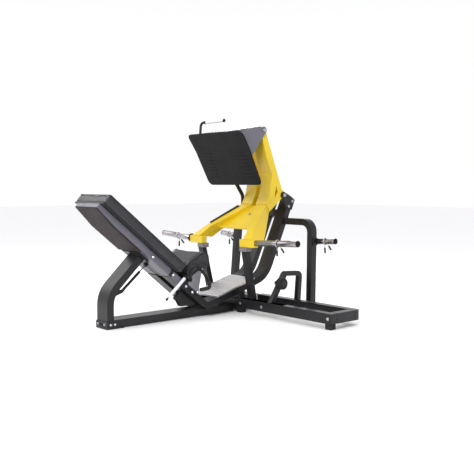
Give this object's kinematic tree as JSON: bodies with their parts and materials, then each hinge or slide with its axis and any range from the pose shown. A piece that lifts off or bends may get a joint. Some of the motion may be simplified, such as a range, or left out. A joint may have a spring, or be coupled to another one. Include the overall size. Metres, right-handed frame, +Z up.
{
  "type": "leg press machine",
  "caption": "Plate-loaded leg press: sloping padded bench, swinging press arm with plate horns, parallel-linked foot plate, and a floor frame with storage horns.",
  "frame": {"origin": "on the floor in the centre plane, on the underside of the head-end foot", "axes": "+X from the head end towards the press arm, +Z up, near side with the long side frame towards -Y"},
  "size_m": [2.0151, 2.0445, 1.6339],
  "materials": {
    "frame_black": "semi-gloss powder coat",
    "trim_grey": "semi-gloss powder coat",
    "arm_yellow": "gloss powder coat",
    "chrome": "polished",
    "bright_steel": "satin",
    "tread": "ribbed, satin",
    "rubber": "matt",
    "vinyl": "upholstery vinyl, soft sheen",
    "plate_black": "moulded, fine texture",
    "grip": "matt"
  },
  "bodies": {
    "frame": {"head_leg": "frame_black", "foot_shoe": "frame_black", "base_beam": "frame_black", "spine_beam": "frame_black", "rear_cross_beam": "frame_black", "side_frame_front": "frame_black", "side_frame_end": "frame_black", "side_frame_back": "frame_black", "side_foot": "rubber", "centre_foot": "rubber", "tread_plate": "tread", "main_tube_near": "frame_black", "main_tube_far": "frame_black", "tube_tie": "frame_black", "hinge_shaft": "bright_steel", "pivot_bracket_near": "frame_black", "pivot_bracket_far": "frame_black", "arm_axle": "bright_steel", "stop_post_near": "frame_black", "stop_post_far": "frame_black", "stop_bumper_near": "rubber", "stop_bumper_far": "rubber", "storage_upright_near": "frame_black", "storage_upright_far": "frame_black", "storage_horn_near": "chrome", "storage_horn_far": "chrome", "hoop": "frame_black", "seat_pad": "vinyl", "seat_frame_near": "trim_grey", "seat_frame_far": "trim_grey", "seat_base": "frame_black", "grab_handle_near": "frame_black", "grab_handle_far": "frame_black", "latch_housing": "frame_black"},
    "backrest": {"back_pad": "vinyl", "back_board": "frame_black", "back_bar_near": "trim_grey", "back_bar_far": "trim_grey", "back_cover": "frame_black", "bench_tie": "frame_black"},
    "strut_lower": {"strut_cylinder": "frame_black"},
    "strut_upper": {"strut_rod": "chrome"},
    "lever": {"release_lever": "chrome"},
    "press_arm": {"arm_rail_near": "arm_yellow", "arm_rail_far": "arm_yellow", "arm_knee": "arm_yellow", "arm_leg_near": "arm_yellow", "arm_leg_far": "arm_yellow", "load_horn_near": "chrome", "load_horn_far": "chrome", "plate_axle": "bright_steel"},
    "foot_plate_unit": {"foot_plate": "plate_black", "plate_bracket": "trim_grey", "plate_handle": "chrome"},
    "link": {"parallel_link": "frame_black"},
    "roller": {"hoop_roller": "rubber"},
    "load_collar_unit_near": {"load_collar_near": "grip"},
    "load_collar_unit_far": {"load_collar_far": "grip"},
    "storage_collar_unit_near": {"storage_collar_near": "grip"},
    "storage_collar_unit_far": {"storage_collar_far": "grip"}
  },
  "joints": [
    {"name": "press_swing", "type": "hinge", "parent": "frame", "child": "press_arm", "pos_m": [1.745, 0, 0.989], "axis": [0, 1, 0], "range_deg": [0, 30]},
    {"name": "foot_plate_pivot", "type": "hinge", "parent": "press_arm", "child": "foot_plate_unit", "pos_m": [1.503, 0, 1.545], "axis": [0, 1, 0], "range_deg": [-30, 0]},
    {"name": "link_swing", "type": "hinge", "parent": "frame", "child": "link", "pos_m": [1.585, 0, 0.744], "axis": [0, 1, 0], "range_deg": [0, 30]},
    {"name": "backrest_tilt", "type": "hinge", "parent": "frame", "child": "backrest", "pos_m": [0.544, 0, 0.375], "axis": [0, 1, 0], "range_deg": [0, 10]},
    {"name": "strut_swing", "type": "hinge", "parent": "frame", "child": "strut_lower", "pos_m": [0.171, 0, 0.264], "axis": [0, 1, 0], "range_deg": [-3, 0]},
    {"name": "strut_slide", "type": "slide", "parent": "strut_lower", "child": "strut_upper", "axis": [0.7627, 0, 0.6467], "range_m": [0, 0.04]},
    {"name": "lever_pull", "type": "hinge", "parent": "frame", "child": "lever", "pos_m": [0.61, -0.178, 0.319], "axis": [0, 1, 0], "range_deg": [0, 15], "stiffness_Nm_per_rad": 2, "springref_deg": -17.19},
    {"name": "roller_turn", "type": "hinge", "parent": "frame", "child": "roller", "pos_m": [1.345, -0.548, 0.278], "axis": [0, 1, 0], "continuous": true},
    {"name": "load_collar_slide_near", "type": "slide", "parent": "press_arm", "child": "load_collar_unit_near", "axis": [0.0395, -0.9982, 0.0461], "range_m": [-0.15, 0.2]},
    {"name": "load_collar_slide_far", "type": "slide", "parent": "press_arm", "child": "load_collar_unit_far", "axis": [0.0395, 0.9982, 0.0461], "range_m": [-0.15, 0.2]},
    {"name": "storage_collar_slide_near", "type": "slide", "parent": "frame", "child": "storage_collar_unit_near", "axis": [0.0692, -0.9959, 0.0577], "range_m": [-0.08, 0.09]},
    {"name": "storage_collar_slide_far", "type": "slide", "parent": "frame", "child": "storage_collar_unit_far", "axis": [0.0692, 0.9959, 0.0577], "range_m": [-0.08, 0.09]}
  ],
  "couplings": [
    {"joint": "foot_plate_pivot", "follows": "press_swing", "ratio": -1},
    {"joint": "link_swing", "follows": "press_swing", "ratio": 1},
    {"joint": "strut_swing", "follows": "backrest_tilt", "ratio": -0.196},
    {"joint": "strut_slide", "follows": "backrest_tilt", "m_per_rad": 0.162}
  ]
}
